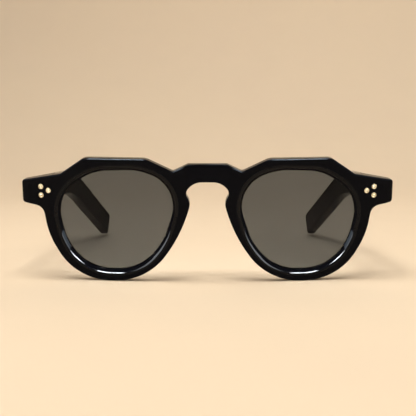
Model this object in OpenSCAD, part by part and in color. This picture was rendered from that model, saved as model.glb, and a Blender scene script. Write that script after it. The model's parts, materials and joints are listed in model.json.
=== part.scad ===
// Round sunglasses with a keyhole bridge, standing open on the rims and the temple tips.
// X runs across the face, Y from front to back and Z up, in millimetres.
// The front is drawn upright in its own plane, with its face towards -Y, and then leaned forward.

/* [Front] */
// Height of the front, measured along its lean
front_h = 48.5; // [47:0.5:52]
// Thickness of the front
front_t = 4.5; // [4:0.1:5]
// Radius to which the front and the lenses are bowed
bow_r = 300; // [250:10:450]
// Forward lean of the front over the level temples, in degrees
lean = 8; // [5:0.5:11]
// Width of the flat taken off the outer edges
edge_cut = 0.6; // [0.3:0.1:0.7]

/* [Lens openings] */
// Width of one lens opening
lens_w = 44.2; // [42:0.2:46]
// Height of one lens opening
lens_h = 39.7; // [38:0.1:41]
// Distance between the two lens openings
lens_gap = 26.6; // [25:0.2:30]
// Height of the rim under the lens
rim_low = 4.3; // [4:0.1:5]
// Width of the bevel round the front of each opening
rim_bevel = 1.4; // [0.8:0.1:1.4]

/* [Lenses] */
// Thickness of a lens
lens_t = 2; // [1.6:0.1:2.2]
// Depth by which a lens enters its groove
groove_d = 0.8; // [0.5:0.1:1]
// Distance of the lens behind the face of the rim
lens_back = 1.5; // [1.4:0.1:1.7]

/* [Bridge] */
// Height of the top of the bridge above the bottom of the rims
bridge_top = 46.5; // [45.5:0.1:47.4]
// Height of the underside of the bridge above the bottom of the rims
bridge_low = 39.6; // [39:0.1:40.4]
// Depth of the notch between the bridge and each rim
notch_d = 2.7; // [1.5:0.1:3]
// Half width of the scoop across the face of the bridge, halfway up
scoop_w = 8.8; // [7.8:0.1:9.2]
// Depth of that scoop
scoop_d = 0.8; // [0.5:0.1:1.2]
// Tilt of the scoop, which widens it upwards, in degrees
scoop_tilt = 3; // [0:0.5:5]

/* [End pieces and hinges] */
// Length of an end piece beyond the lens opening
end_l = 15.3; // [13.5:0.1:18]
// Height of the outer end of an end piece
end_h = 8.7; // [8.4:0.1:9.4]
// Height of the outer top corner above the bottom of the rims
end_top = 39.2; // [38.5:0.1:40]
// Radius of a hinge barrel
barrel_r = 1.4; // [1.3:0.05:1.5]
// Height of one of the five barrels of a hinge
barrel_h = 1.1; // [1:0.05:1.2]
// Radius of the hinge screw
screw_r = 0.7; // [0.6:0.05:0.8]
// Thickness of a hinge leaf
leaf_t = 0.9; // [0.7:0.1:1]
// Radius of the rivet ends that show
rivet_r = 1.05; // [0.9:0.05:1.1]

/* [Temples] */
// Length of a temple along its middle line
temple_l = 146; // [140:1:150]
// Thickness of a temple
temple_t = 4.5; // [4.2:0.1:5]
// Radius of the bend over the ear
ear_r = 60; // [45:5:80]
// Angle of the bend over the ear, in degrees
ear_bend = 26; // [24:1:30]
// Turn of that bend towards the head, in degrees
ear_turn = 16; // [8:1:18]
// Rounding of the long edges of a temple
temple_edge = 1.1; // [0.6:0.1:1.4]
// Radius of the wire inside a temple
wire_r = 0.7; // [0.5:0.05:0.8]

/* [Nose pads] */
// How far a pad stands behind the rim
pad_d = 5; // [3:0.25:6]

/* [Hidden] */

acetate = [0.05, 0.05, 0.06];
lens_tint = [0.42, 0.39, 0.34];
nickel = [0.72, 0.72, 0.70];
pale_gold = [0.93, 0.87, 0.70];

// Clearances: a lens in its groove, a rivet in its hole, a screw in its barrels,
// between two barrels, and between the temple and the end piece
lens_play = 0.04;
rivet_play = 0.02;
screw_play = 0.05;
barrel_gap = 0.05;
butt_gap = 0.15;

// Centre of a lens opening, and the middle height about which the front is bowed
lens_x = (lens_gap + lens_w) / 2;
lens_v = rim_low + lens_h / 2;
eye_out = lens_x + lens_w / 2;
half_w = eye_out + end_l;

// Corners of a lens opening as shares of its half width and half height, with the
// radius of each corner as a share of the half width. The top leans to the nose and
// the lowest point lies outwards of the middle.
eye_shape = [[-0.4, 1.01, 1], [0.37, 0.97, 0.84], [1.085, 0.495, 0.67], [0.94, -0.3, 0.76],
    [0.665, -1, 0.82], [-0.41, -1, 0.9], [-0.87, -0.34, 1.3], [-1.12, 0.7, 0.58]];
eye_corners = [for (c = eye_shape) [c.x * lens_w / 2, c.y * lens_h / 2, c.z * lens_w / 2]];

// Rim beside the lens, roots of the end piece and of the bridge, reach of the straight top
// inwards and outwards of the lens, and place of the brow inwards of the eye and over the end piece
rim_side = 5.1;
end_root = 6.7;
root_drop = 1.5;
bridge_half = 7.5;
notch_in = 0.1;
crown_in = 11.9;
crown_out = 12;
brow_in = 0.6;
brow_rise = 2.9;
// Height of the widest rim, the two corners that the rounding of the lower rim is drawn on, and
// their radii
wide_v = 18;
low_out = [4.5, 0.8];
low_in = [min(11.3, lens_w * 0.2557), 1.2];
low_round = [lens_w * 0.4977, min(26, lens_w * 0.5882)];
// The keyhole: slope and side of the nose, ear of the keyhole and start of its arch, each inwards
// of the opening and under the top of the keyhole
slope_in = [3.4, 19.9];
nose_in = [6.95, 7.6];
ear_in = [4.6, 3.95];
arch_in = 7.95;
nose_x = lens_gap / 2;
end_low = end_top - end_h;
half_corners = [
    [bridge_half, bridge_top, 2],
    [nose_x - notch_in, bridge_top - notch_d, 1.5],
    [lens_x - crown_in, front_h, 7],
    [lens_x + crown_out, front_h, 4],
    [eye_out - brow_in, end_top + brow_rise, 2.5],
    [half_w, end_top, 1.5],
    [half_w, end_low, 1.1],
    [eye_out + end_root, end_low - root_drop, 4],
    [eye_out + rim_side, wide_v, 30],
    [eye_out - low_out.x, low_out.y, low_round[0]],
    [nose_x + low_in.x, -low_in.y, low_round[1]],
    [nose_x - slope_in.x, bridge_low - slope_in.y, 60],
    [nose_x - nose_in.x, bridge_low - nose_in.y, 4.6],
    [nose_x - ear_in.x, bridge_low - ear_in.y, 2.6],
    [nose_x - arch_in, bridge_low, 6.4]];
corner_count = len(half_corners);
front_corners = concat(half_corners,
    [for (i = [corner_count - 1 : -1 : 0])
        [-half_corners[i].x, half_corners[i].y, half_corners[i].z]]);

// Length of the short straight steps that stand for an arc
step_l = 1.6;
function unit(p) = p / norm(p);
function turned(p, a) = [p.x * cos(a) - p.y * sin(a), p.x * sin(a) + p.y * cos(a)];

// The arc at corner p between neighbours a and b of a clockwise outline, moved outwards by grow.
// With shift 0.5 its points lie midway between those with shift 0.
function corner_arc(a, p, b, grow, shift) =
    let (p2 = [p.x, p.y],
         u = unit([a.x, a.y] - p2),
         w = unit([b.x, b.y] - p2),
         open = acos(u * w),
         bulge = sign(u.x * w.y - u.y * w.x),
         centre = p2 + unit(u + w) * p.z / sin(open / 2),
         out = [u.y, -u.x],
         steps = max(3, ceil(p.z * (180 - open) * PI / 180 / step_l)),
         last = shift > 0 ? steps - 1 : steps)
    [for (k = [0 : last])
        centre + (bulge * p.z + grow) * turned(out, -bulge * (180 - open) * (k + shift) / steps)];
function outline(corners, grow = 0, shift = 0) =
    let (n = len(corners))
    [for (i = [0 : n - 1])
        each corner_arc(corners[(i + n - 1) % n], corners[i], corners[(i + 1) % n], grow, shift)];

front_outline = outline(front_corners);

// Depth behind the foremost point of the front at depth d below its bowed face
function bowed(p, d) =
    bow_r - sqrt(pow(bow_r - d, 2) - p.x * p.x - pow(p.y - lens_v, 2));
function on_bow(p, d) = [p.x, bowed(p, d), p.y];

// The end pieces go back to this flat, where the temples butt
butt_y = bowed([half_w, end_top], 0) + front_t;
end_inner = eye_out + 2.6;
end_foot = end_low - 1.2;

// The lowest point of the rims, and so the height of the table
base_z = min([for (p = front_outline)
    bowed(p, edge_cut) * sin(lean) + p.y * cos(lean)]);

// Hinge axis, seen in the plane of the front
hinge_x = half_w - temple_t + 0.3;
hinge_y = butt_y + barrel_r + 0.1;
hinge_v = end_low + end_h / 2 - 0.25;
pitch = barrel_h + barrel_gap;
stack_h = 5 * barrel_h + 4 * barrel_gap;
stack_low = hinge_v - stack_h / 2;
head_h = 0.7;
head_r = 1.1;
leaf_x0 = hinge_x - 7.9;
// How far the plate of the front leaf reaches over its barrels, for the upper rivet
leaf_up = 0.65;
pocket_d = hinge_x + barrel_r + 0.3 - (half_w - temple_t);
pocket_l = 2 * barrel_r + 0.4;
temple_leaf_l = 8;
// How far the links of the temple leaf reach past the pocket
link_over = 1.1;

// Rivets of the front leaf, from the hinge axis, and of the temple leaf, from the wire
front_rivets = [[-3.8, 2.3], [-6.8, 0.85], [-3.8, -1.1]];
temple_rivets = [[pocket_l + 2.2, 1.75], [pocket_l + 5.8, -1.75]];

// Middle line of a temple: level from the hinge, an arc over the ear, and a straight tail
// that brings the tip down to the table
axis_x = half_w - temple_t / 2;
axis_y = butt_y * cos(lean) - hinge_v * sin(lean);
axis_z = butt_y * sin(lean) + hinge_v * cos(lean);
tip_down = 6.6;
drop_dir = sin(ear_bend) * cos(ear_turn);
ear_drop = ear_r * (1 - cos(ear_bend)) * cos(ear_turn);
tail_l = (axis_z - base_z - ear_drop - tip_down * sqrt(1 - drop_dir * drop_dir)) / drop_dir;
ear_l = ear_r * ear_bend * PI / 180;
level_l = temple_l - ear_l - tail_l;

// Point and direction of the middle line at length s from the butt
function fall() = [-sin(ear_turn), 0, -cos(ear_turn)];
function line_angle(s) = max(0, min(ear_bend, (s - level_l) / ear_r * 180 / PI));
function line_dir(s) = [0, cos(line_angle(s)), 0] + fall() * sin(line_angle(s));
function line_point(s) =
    let (a = line_angle(s),
         rest = max(0, s - level_l - ear_l))
    [axis_x, axis_y, axis_z] + [0, min(s, level_l) + ear_r * sin(a), 0]
        + fall() * ear_r * (1 - cos(a)) + line_dir(s) * rest;

// Reach of the temple above and below its middle line, at the lengths in temple_s
temple_s = [-6, 2, 20, 48, 75, 100, 140, 160];
temple_up = [4.2, 4.2, 4.5, 5.3, 5.9, 6.2, 6.2, 6.2];
temple_dn = [4, 4.1, 4.7, 5.6, 6.2, 6.5, tip_down, tip_down];
tip_round = 4.5;
// What the rounding takes off each edge, e short of the end
function tip_loss(e) = e >= tip_round ? 0 : tip_round - sqrt(pow(tip_round, 2) - pow(tip_round - e, 2));

// One section: a rectangle with rounded corners, three points to a corner
function temple_section(s) =
    let (loss = tip_loss(max(0.02, temple_l - s)),
         up = lookup(s, [for (i = [0 : len(temple_s) - 1]) [temple_s[i], temple_up[i]]]) - loss,
         dn = lookup(s, [for (i = [0 : len(temple_s) - 1]) [temple_s[i], temple_dn[i]]]) - loss,
         half = temple_t / 2 - min(0.8, loss * 0.3),
         r = min(temple_edge, half - 0.2),
         c = line_point(s),
         t = line_dir(s),
         side = unit([t.y, -t.x, 0]),
         rise = cross(side, t))
    [for (q = [0 : 3])
        let (sx = (q == 0 || q == 3) ? 1 : -1,
             sz = q < 2 ? 1 : -1)
        for (k = [0 : 2])
            let (a = 90 * q + 45 * k)
            c + side * (sx * (half - r) + r * cos(a))
                + rise * (sz > 0 ? up - r + r * sin(a) : -dn + r + r * sin(a))];
section_n = 12;
temple_stations = concat([for (s = [-5 : 5 : temple_l - 8]) s],
    [for (k = [5 : -1 : 0]) temple_l - tip_round * (1 - cos(90 * k / 5)) - 0.02]);
temple_sections = [for (s = temple_stations) temple_section(s)];

// Skin of a solid swept through rings of equal count, closed by fans at its two ends
function swept_faces(rings, n) = concat(
    [for (i = [0 : rings - 2], k = [0 : n - 1])
        each [[i * n + k, i * n + (k + 1) % n, (i + 1) * n + (k + 1) % n],
              [i * n + k, (i + 1) * n + (k + 1) % n, (i + 1) * n + k]]],
    [for (k = [1 : n - 2]) [0, k + 1, k]],
    [for (k = [1 : n - 2]) [(rings - 1) * n, (rings - 1) * n + k, (rings - 1) * n + k + 1]]);

// Skin of a closed ring whose loops of n points lie one after another
function ring_faces(loops, n) =
    [for (j = [0 : loops - 1], k = [0 : n - 1])
        let (a = j * n + k,
             b = j * n + (k + 1) % n,
             c = ((j + 1) % loops) * n + (k + 1) % n,
             d = ((j + 1) % loops) * n + k)
        each [[a, b, c], [a, c, d]]];

// Middle of the whole object from front to back
front_y = min([for (p = front_outline) bowed(p, 0) * cos(lean) - (p.y - edge_cut) * sin(lean)]);
tip_y = max([for (ring = temple_sections, p = ring) p.y]);
mid_y = (front_y + tip_y) / 2;

module upright() {
    translate([0, -mid_y, -base_z]) children();
}
module leaned() {
    upright() rotate([lean, 0, 0]) children();
}
module sided(side) {
    if (side > 0) children();
    else mirror([1, 0, 0]) children();
}

// A plate through the front, drawn in its plane, from depth y0 to y1
module plate(points, y0, y1) {
    translate([0, y1, 0]) rotate([90, 0, 0]) linear_extrude(height = y1 - y0) polygon(points);
}
// The ball whose surface lies at depth d below the face of the front
module bow_ball(d) {
    translate([0, bow_r, lens_v]) sphere(r = bow_r - d, $fn = 256);
}

// A three-sided ring along an outline on the bowed face, each corner given as
// [distance outwards, depth]; it planes the edge away
module edge_plane(corners, section) {
    loops = [for (c = section) outline(corners, c[0], 0.5)];
    n = len(loops[0]);
    points = [for (j = [0 : 2], p = loops[j]) on_bow(p, section[j][1])];
    polyhedron(points, ring_faces(3, n));
}

over = 0.3;
module opening(grow, y0, y1) {
    translate([lens_x, 0, lens_v]) plate(outline(eye_corners, grow), y0, y1);
}
// A bowed disc of the lens shape, from depth d0 to d1
module bowed_disc(grow, d0, d1) {
    difference() {
        intersection() {
            opening(grow, 0, butt_y);
            bow_ball(d0);
        }
        bow_ball(d1);
    }
}
lens_corners = [for (c = eye_corners) [c.x + lens_x, c.y + lens_v, c.z]];

module front_frame() {
    color(acetate) leaned() difference() {
        intersection() {
            plate(front_outline, -1, butt_y);
            bow_ball(0);
        }
        // The back is hollowed to an even thickness between the end pieces
        intersection() {
            bow_ball(front_t);
            union() {
                translate([0, 0, -5]) linear_extrude(height = front_h + 10)
                    polygon([[-end_inner, -1], [end_inner, -1],
                        [end_inner - 1, butt_y + 1], [1 - end_inner, butt_y + 1]]);
                translate([-half_w - 1, -1, -5]) cube([2 * half_w + 2, butt_y + 3, end_foot + 5]);
            }
        }
        // Bevelled front edge, and the back edge between the end pieces
        edge_plane(front_corners,
            [[-edge_cut - over, -over], [over, edge_cut + over], [over, -over]]);
        for (side = [-1, 1]) sided(side) {
            opening(0, -2, butt_y + 2);
            bowed_disc(groove_d, lens_back - lens_play, lens_back + lens_t + lens_play);
            edge_plane(lens_corners,
                [[rim_bevel + over, -over], [-over, -over], [-over, rim_bevel + over]]);
            leaf_recess();
            for (r = front_rivets) rivet_hole(r);
        }
        bridge_scoop();
    }
}

// Scoop across the face of the bridge, tilted from the slope that the bow gives the face there
module bridge_scoop() {
    scoop_r = (scoop_w * scoop_w + scoop_d * scoop_d) / (2 * scoop_d);
    scoop_v = (bridge_top + bridge_low) / 2;
    slope = asin((scoop_v - lens_v) / bow_r);
    translate([0, bowed([scoop_w, scoop_v], 0) + scoop_d, scoop_v]) rotate([-slope - scoop_tilt, 0, 0])
        translate([0, -scoop_r, -bridge_top / 4]) cylinder(r = scoop_r, h = bridge_top / 2, $fn = 256);
}

module leaf_recess() {
    translate([leaf_x0 - rivet_play, butt_y - leaf_t, stack_low - rivet_play])
        cube([hinge_x + barrel_r + 0.1 - leaf_x0, leaf_t + 1, stack_h + leaf_up + 2 * rivet_play]);
}
module rivet_hole(r) {
    translate([hinge_x + r[0], -1, hinge_v + r[1]]) rotate([-90, 0, 0])
        cylinder(r = rivet_r + rivet_play, h = butt_y + 2, $fn = 48);
}

module lens(side) {
    color(lens_tint) leaned() sided(side)
        bowed_disc(groove_d - lens_play, lens_back, lens_back + lens_t);
}

// A pad: two feet on the back of the rim, two crests behind them
pad_top = [lens_gap / 2 - 3.2, lens_v + 4.6];
pad_low = [lens_gap / 2 + 0.9, lens_v - 6.6];
module nose_pad(side) {
    color(acetate) leaned() sided(side) intersection() {
        hull() {
            for (p = [pad_top, pad_low])
                translate([p.x, front_t, p.y]) sphere(r = 2.2, $fn = 20);
            for (p = [pad_top + [1.1, -1.6], pad_low + [1.1, 1.2]])
                translate([p.x, front_t + pad_d - 1.5, p.y]) sphere(r = 1.5, $fn = 20);
        }
        bow_ball(front_t);
    }
}

// A run of barrels, those whose place in the stack is listed
module barrels(places, reach) {
    for (i = places) translate([0, 0, stack_low + i * pitch]) {
        translate([hinge_x, hinge_y, 0]) cylinder(r = barrel_r, h = barrel_h, $fn = 48);
        translate(reach[0]) cube([reach[1].x, reach[1].y, barrel_h]);
    }
}
module screw_bore() {
    translate([hinge_x, hinge_y, stack_low - 1])
        cylinder(r = screw_r + screw_play, h = stack_h + 2, $fn = 48);
}

pin_r = 0.7;
module front_leaf(side) {
    color(nickel) leaned() sided(side) difference() {
        union() {
            translate([leaf_x0, butt_y - leaf_t, stack_low])
                cube([hinge_x + barrel_r - leaf_x0, leaf_t, stack_h + leaf_up]);
            barrels([0, 2, 4], [[hinge_x - 2, butt_y - leaf_t, 0], [2, leaf_t + barrel_r - 0.5]]);
        }
        screw_bore();
        for (r = front_rivets) translate([hinge_x + r[0], butt_y - leaf_t - 1, hinge_v + r[1]])
            rotate([-90, 0, 0]) cylinder(r = pin_r + rivet_play, h = leaf_t + 2, $fn = 48);
    }
}

// Inner face of the temple, and the start of its leaf behind the barrels
temple_in = half_w - temple_t;
module temple_leaf(side) {
    color(nickel) sided(side) difference() {
        union() {
            leaned() barrels([1, 3],
                [[temple_in, hinge_y, 0], [leaf_t, pocket_l + link_over - barrel_r - 0.1]]);
            temple_plate(0, 0);
        }
        leaned() screw_bore();
        for (r = temple_rivets) upright() temple_pin(r, pin_r + rivet_play, temple_in - 1, temple_in + leaf_t + 1);
    }
}
module temple_plate(play, proud) {
    upright() translate([temple_in - proud, axis_y + pocket_l + 0.2 - play, axis_z - stack_h / 2 - play])
        cube([leaf_t + proud, temple_leaf_l + 2 * play, stack_h + 2 * play]);
}
module temple_pin(r, radius, x0, x1) {
    translate([x0, axis_y + r[0], axis_z + r[1]]) rotate([0, 90, 0])
        cylinder(r = radius, h = x1 - x0, $fn = 48);
}

module temple(side) {
    color(acetate) sided(side) difference() {
        upright() polyhedron([for (ring = temple_sections, p = ring) p],
            swept_faces(len(temple_sections), section_n));
        // The end that butts against the front, cut to the lean of the front
        leaned() translate([half_w - 20, butt_y + butt_gap - 20, hinge_v - 20]) cube([40, 20, 40]);
        // Pocket for the barrels and the screw head
        leaned() translate([temple_in - 1, butt_y - 1, stack_low - 0.25])
            cube([1 + pocket_d, 1 + pocket_l, stack_h + head_h + 0.5]);
        // Way for the links between the barrels and their leaf
        leaned() translate([temple_in - 1, butt_y, stack_low - rivet_play])
            cube([1 + leaf_t + rivet_play, pocket_l + link_over + 0.1, stack_h + 2 * rivet_play]);
        temple_plate(rivet_play, 1);
        for (r = temple_rivets) upright() temple_pin(r, rivet_r + rivet_play, temple_in - 1, half_w + 1);
        upright() wire_path(wire_r + rivet_play, pocket_l - 1, temple_l - 11.8);
    }
}

// Round wire along the middle line, from length s0 to s1
wire_sides = 16;
function wire_ring(s, r) =
    let (t = line_dir(s),
         side = unit([t.y, -t.x, 0]),
         rise = cross(side, t))
    [for (k = [0 : wire_sides - 1])
        line_point(s) + r * cos(360 * k / wire_sides) * side + r * sin(360 * k / wire_sides) * rise];
module wire_path(r, s0, s1) {
    rings = [for (s = concat([s0], [for (k = [0 : 8]) level_l + ear_l * k / 8], [s1])) wire_ring(s, r)];
    polyhedron([for (ring = rings) each ring], swept_faces(len(rings), wire_sides));
}
module core_wire(side) {
    color(nickel) sided(side) upright() wire_path(wire_r, pocket_l + 0.6, temple_l - 12);
}

module hinge_screw(side) {
    color(nickel) leaned() sided(side) translate([hinge_x, hinge_y, stack_low]) difference() {
        union() {
            cylinder(r = screw_r, h = stack_h + 0.1, $fn = 48);
            translate([0, 0, stack_h + screw_play]) cylinder(r = head_r, h = head_h - 0.1, $fn = 48);
        }
        translate([-2, -0.15, stack_h + head_h - 0.35]) cube([4, 0.3, 1]);
    }
}

module front_rivet(side, i) {
    r = front_rivets[i];
    color(pale_gold) leaned() sided(side) intersection() {
        bow_ball(-0.04);
        translate([hinge_x + r[0], 0, hinge_v + r[1]]) rotate([-90, 0, 0]) {
            cylinder(r = rivet_r, h = butt_y - leaf_t - 0.02, $fn = 48);
            cylinder(r = pin_r, h = butt_y, $fn = 48);
        }
    }
}
module temple_rivet(side, i) {
    r = temple_rivets[i];
    color(pale_gold) sided(side) upright() {
        temple_pin(r, rivet_r, temple_in + leaf_t + 0.02, half_w + 0.04);
        temple_pin(r, pin_r, temple_in, half_w - 1);
    }
}

front_frame();
lens(1);  // lens_left
lens(-1);  // lens_right
nose_pad(1);  // nose_pad_left
nose_pad(-1);  // nose_pad_right
front_leaf(1);  // front_leaf_left
front_leaf(-1);  // front_leaf_right
temple_leaf(1);  // temple_leaf_left
temple_leaf(-1);  // temple_leaf_right
hinge_screw(1);  // hinge_screw_left
hinge_screw(-1);  // hinge_screw_right
temple(1);  // temple_left
temple(-1);  // temple_right
core_wire(1);  // core_wire_left
core_wire(-1);  // core_wire_right
front_rivet(1, 0);  // front_rivet_left_upper
front_rivet(1, 1);  // front_rivet_left_middle
front_rivet(1, 2);  // front_rivet_left_lower
front_rivet(-1, 0);  // front_rivet_right_upper
front_rivet(-1, 1);  // front_rivet_right_middle
front_rivet(-1, 2);  // front_rivet_right_lower
temple_rivet(1, 0);  // temple_rivet_left_front
temple_rivet(1, 1);  // temple_rivet_left_rear
temple_rivet(-1, 0);  // temple_rivet_right_front
temple_rivet(-1, 1);  // temple_rivet_right_rear
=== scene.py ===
"""Looks of a pair of round keyhole sunglasses in black acetate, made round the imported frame."""

import json
import math

import bmesh
import bpy
from bpy.props import FloatProperty, FloatVectorProperty, PointerProperty
from mathutils import Matrix, Vector

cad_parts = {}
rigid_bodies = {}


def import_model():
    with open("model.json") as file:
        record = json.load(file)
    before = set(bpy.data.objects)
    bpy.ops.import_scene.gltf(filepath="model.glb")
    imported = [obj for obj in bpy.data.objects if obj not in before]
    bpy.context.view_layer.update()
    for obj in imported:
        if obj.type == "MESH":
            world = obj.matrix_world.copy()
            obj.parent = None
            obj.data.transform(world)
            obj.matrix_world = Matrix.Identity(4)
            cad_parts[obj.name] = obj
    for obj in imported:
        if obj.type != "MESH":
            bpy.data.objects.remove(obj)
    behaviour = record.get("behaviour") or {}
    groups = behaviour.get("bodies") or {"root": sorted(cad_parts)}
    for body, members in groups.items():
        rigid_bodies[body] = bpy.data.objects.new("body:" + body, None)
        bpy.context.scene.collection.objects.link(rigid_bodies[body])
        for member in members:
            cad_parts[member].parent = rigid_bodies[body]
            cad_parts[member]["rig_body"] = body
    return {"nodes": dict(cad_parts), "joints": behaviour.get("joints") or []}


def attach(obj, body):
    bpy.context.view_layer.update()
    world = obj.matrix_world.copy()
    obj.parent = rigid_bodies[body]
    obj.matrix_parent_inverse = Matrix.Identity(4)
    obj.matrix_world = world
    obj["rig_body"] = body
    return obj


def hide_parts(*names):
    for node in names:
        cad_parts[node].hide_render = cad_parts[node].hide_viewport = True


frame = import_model()

bl_info = {
    "name": "Round keyhole sunglasses",
    "version": (1, 0, 0),
    "blender": (4, 5, 0),
    "location": "3D View > Sidebar > Sunglasses",
    "description": "Builds the acetate, lenses, hinges and rivets of a pair of round sunglasses",
    "category": "Add Mesh",
}

MM = 0.001
# Vertices nearer to each other than this are merged
WELD = 0.002 * MM
SIDES = {"left": 1, "right": -1}


def linear(code):
    """Linear colour of an sRGB hex value."""
    parts = [int(code[i:i + 2], 16) / 255 for i in (1, 3, 5)]
    return tuple(c / 12.92 if c <= 0.04045 else ((c + 0.055) / 1.055) ** 2.4 for c in parts)


def size(name, description, millimetres):
    """Length property whose default is given in millimetres."""
    return FloatProperty(name=name, description=description, default=millimetres * MM,
                         min=0, precision=5, unit="LENGTH")


def angle(name, description, degrees):
    """Angle property whose default is given in degrees."""
    return FloatProperty(name=name, description=description, default=math.radians(degrees),
                         subtype="ANGLE")


def colour(name, description, code):
    """Colour property whose default is an sRGB hex value."""
    return FloatVectorProperty(name=name, description=description, default=linear(code),
                               min=0, max=1, subtype="COLOR")


class FrontSizes(bpy.types.PropertyGroup):
    """Sizes of the front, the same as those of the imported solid."""
    end_length: size("End piece length", "Length of an end piece beyond the lens opening", 15.3)
    height: size("Height", "Measured along the lean", 48.5)
    thickness: size("Thickness", "Thickness of the rims", 4.5)
    bow: size("Bow radius", "Radius to which the front and the lenses are bowed", 300)
    lens_width: size("Opening width", "Width of one lens opening", 44.2)
    lens_height: size("Opening height", "Height of one lens opening", 39.7)
    lens_gap: size("Opening gap", "Distance between the lens openings", 26.6)
    rim_low: size("Lower rim", "Height of the rim under the lens", 4.3)
    rim_side: size("Side rim", "Width of the rim beside the lens", 5.1)
    bridge_top: size("Bridge top", "Height of the top of the bridge", 46.5)
    bridge_low: size("Bridge underside", "Height of the underside of the bridge", 39.6)
    notch: size("Notch", "Depth of the notch between the bridge and each rim", 2.7)
    end_height: size("End piece height", "Height of the outer end of an end piece", 8.7)
    end_top: size("End piece top", "Height of its outer top corner", 39.2)
    front_round: size("Front edge rounding", "Radius polished on the outer front edge", 0.4)
    back_round: size("Back edge rounding", "Radius polished on the back edges", 0.7)
    bevel: size("Opening bevel", "Width of the bevel round the front of each opening", 1.4)
    groove: size("Groove", "Depth of the lens groove", 0.8)
    scoop_width: size("Scoop half width", "From the middle of the bridge to a crease, halfway up", 8.8)
    scoop_depth: size("Scoop depth", "Depth of the hollow across the face of the bridge", 0.8)
    scoop_tilt: angle("Scoop tilt", "Tilt of the hollow, which widens it upwards", 3)
    end_roll: size("End roll", "Width over which the end of the front rolls back", 3)


class LensSizes(bpy.types.PropertyGroup):
    """Sizes and tint of the lenses."""
    thickness: size("Thickness", "Thickness of a lens", 2)
    set_back: size("Set back", "Distance of the lens behind the face of the rim", 1.5)
    play: size("Play", "Clearance between the lens and its groove", 0.04)
    tint: colour("Tint", "What one surface lets through", "#6A7076")


class TempleSizes(bpy.types.PropertyGroup):
    """Sizes of the temples and the nose pads."""
    length: size("Length", "Length along the middle line", 146)
    thickness: size("Thickness", "Thickness of a temple", 4.5)
    edge: size("Edge rounding", "Radius of the long edges", 1.1)
    ear_radius: size("Ear bend radius", "Radius of the bend over the ear", 60)
    ear_bend: angle("Ear bend", "Angle of the bend over the ear", 26)
    ear_turn: angle("Ear turn", "Turn of that bend towards the head", 16)
    tip_round: size("Tip rounding", "Radius of the outline of the tip", 4.5)
    butt_gap: size("Butt gap", "Gap between the temple and the end piece", 0.15)
    pad_reach: size("Pad reach", "How far a nose pad stands behind the rim", 5)


class HardwareSizes(bpy.types.PropertyGroup):
    """Sizes of the hinges and rivets."""
    barrel_radius: size("Barrel radius", "Radius of a hinge barrel", 1.4)
    barrel_height: size("Barrel height", "Height of one barrel", 1.1)
    barrel_gap: size("Barrel gap", "Gap between two barrels", 0.05)
    leaf: size("Leaf", "Thickness of a hinge leaf", 0.9)
    leaf_up: size("Leaf rise", "How far a front leaf reaches over its barrels", 0.65)
    rivet_radius: size("Rivet radius", "Radius of the rivet ends that show", 1.05)
    pin_radius: size("Pin radius", "Radius of a rivet in its leaf", 0.7)
    break_edge: size("Broken edge", "Width of the broken edges of the metal parts", 0.09)


class Finishes(bpy.types.PropertyGroup):
    """Colours of the finishes."""
    acetate: colour("Acetate", "Body colour of the black acetate", "#08080C")
    acetate_warm: colour("Acetate, warm", "Its slightly lighter clouds", "#0D0C11")
    gold: colour("Rivet gold", "Polished pale gold", "#A3987F")
    gold_dark: colour("Rivet gold, dark", "Gold in the turned marks", "#978A6E")
    nickel: colour("Nickel silver", "Tumbled nickel silver", "#C9C6BE")
    steel: colour("Steel", "Bright steel", "#C4C6C8")


class StageSettings(bpy.types.PropertyGroup):
    """Floor, light and camera."""
    floor: colour("Floor", "Pale warm floor", "#E2CBAC")
    focal: FloatProperty(name="Focal length", description="For a 36 mm sensor",
                         default=56.89, unit="CAMERA")
    pitch: angle("Pitch", "Downward pitch of the camera", 4.88)
    camera_back: size("Camera distance", "How far the camera stands in front of the middle", 325)
    camera_up: size("Camera height", "Height of the camera over the floor", 50.67)
    camera_side: size("Camera side", "How far the camera stands to the wearer's left", 0.2)


def values():
    """Sizes of the front, the lenses, the temples and the hardware."""
    scene = bpy.context.scene
    return scene.front_sizes, scene.lens_sizes, scene.temple_sizes, scene.hardware_sizes


# Clearance round a hinge leaf, and round the barrels when they turn
FIT = 0.02 * MM
BARREL_PLAY = 0.1 * MM
# From the pin to the inner end of a front leaf, and the plate of a temple leaf, with their fit
FRONT_LEAF = 7.92 * MM
TEMPLE_LEAF = 8.02 * MM
# How far a cutting block stands proud of the faces that it opens
OVERCUT = 1 * MM


# Places that follow from the sizes, on the upright front: x across, y back, z up

def opening_middle():
    """Middle of the left lens opening."""
    front = values()[0]
    return Vector(((front.lens_gap + front.lens_width) / 2, front.rim_low + front.lens_height / 2))


def bowed(x, z, depth):
    """How far back a point lies whose depth under the bowed face is given."""
    bow = values()[0].bow
    return bow - math.sqrt((bow - depth) ** 2 - x * x - (z - opening_middle().y) ** 2)


def eye_out():
    """Outer edge of the lens opening."""
    front = values()[0]
    return front.lens_gap / 2 + front.lens_width


def half_width():
    """Half of the width across the end pieces."""
    return eye_out() + values()[0].end_length


def end_inner():
    """Where the thick block of an end piece starts."""
    return eye_out() + 2.6 * MM


def end_foot():
    """Where that block ends below."""
    front = values()[0]
    return front.end_top - front.end_height - 1.2 * MM


def butt_depth():
    """Depth of the flat at the back of the end pieces."""
    front = values()[0]
    return bowed(half_width(), front.end_top, 0) + front.thickness


def stack_height():
    """Height of the five barrels of a hinge."""
    hardware = values()[3]
    return 5 * hardware.barrel_height + 4 * hardware.barrel_gap


def leaf_half():
    """Half of the height of the pocket of a leaf."""
    return stack_height() / 2 + FIT


def pocket_length():
    """Length of the pocket in which the barrels turn, behind the end piece."""
    return 2 * values()[3].barrel_radius + 0.4 * MM


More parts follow.
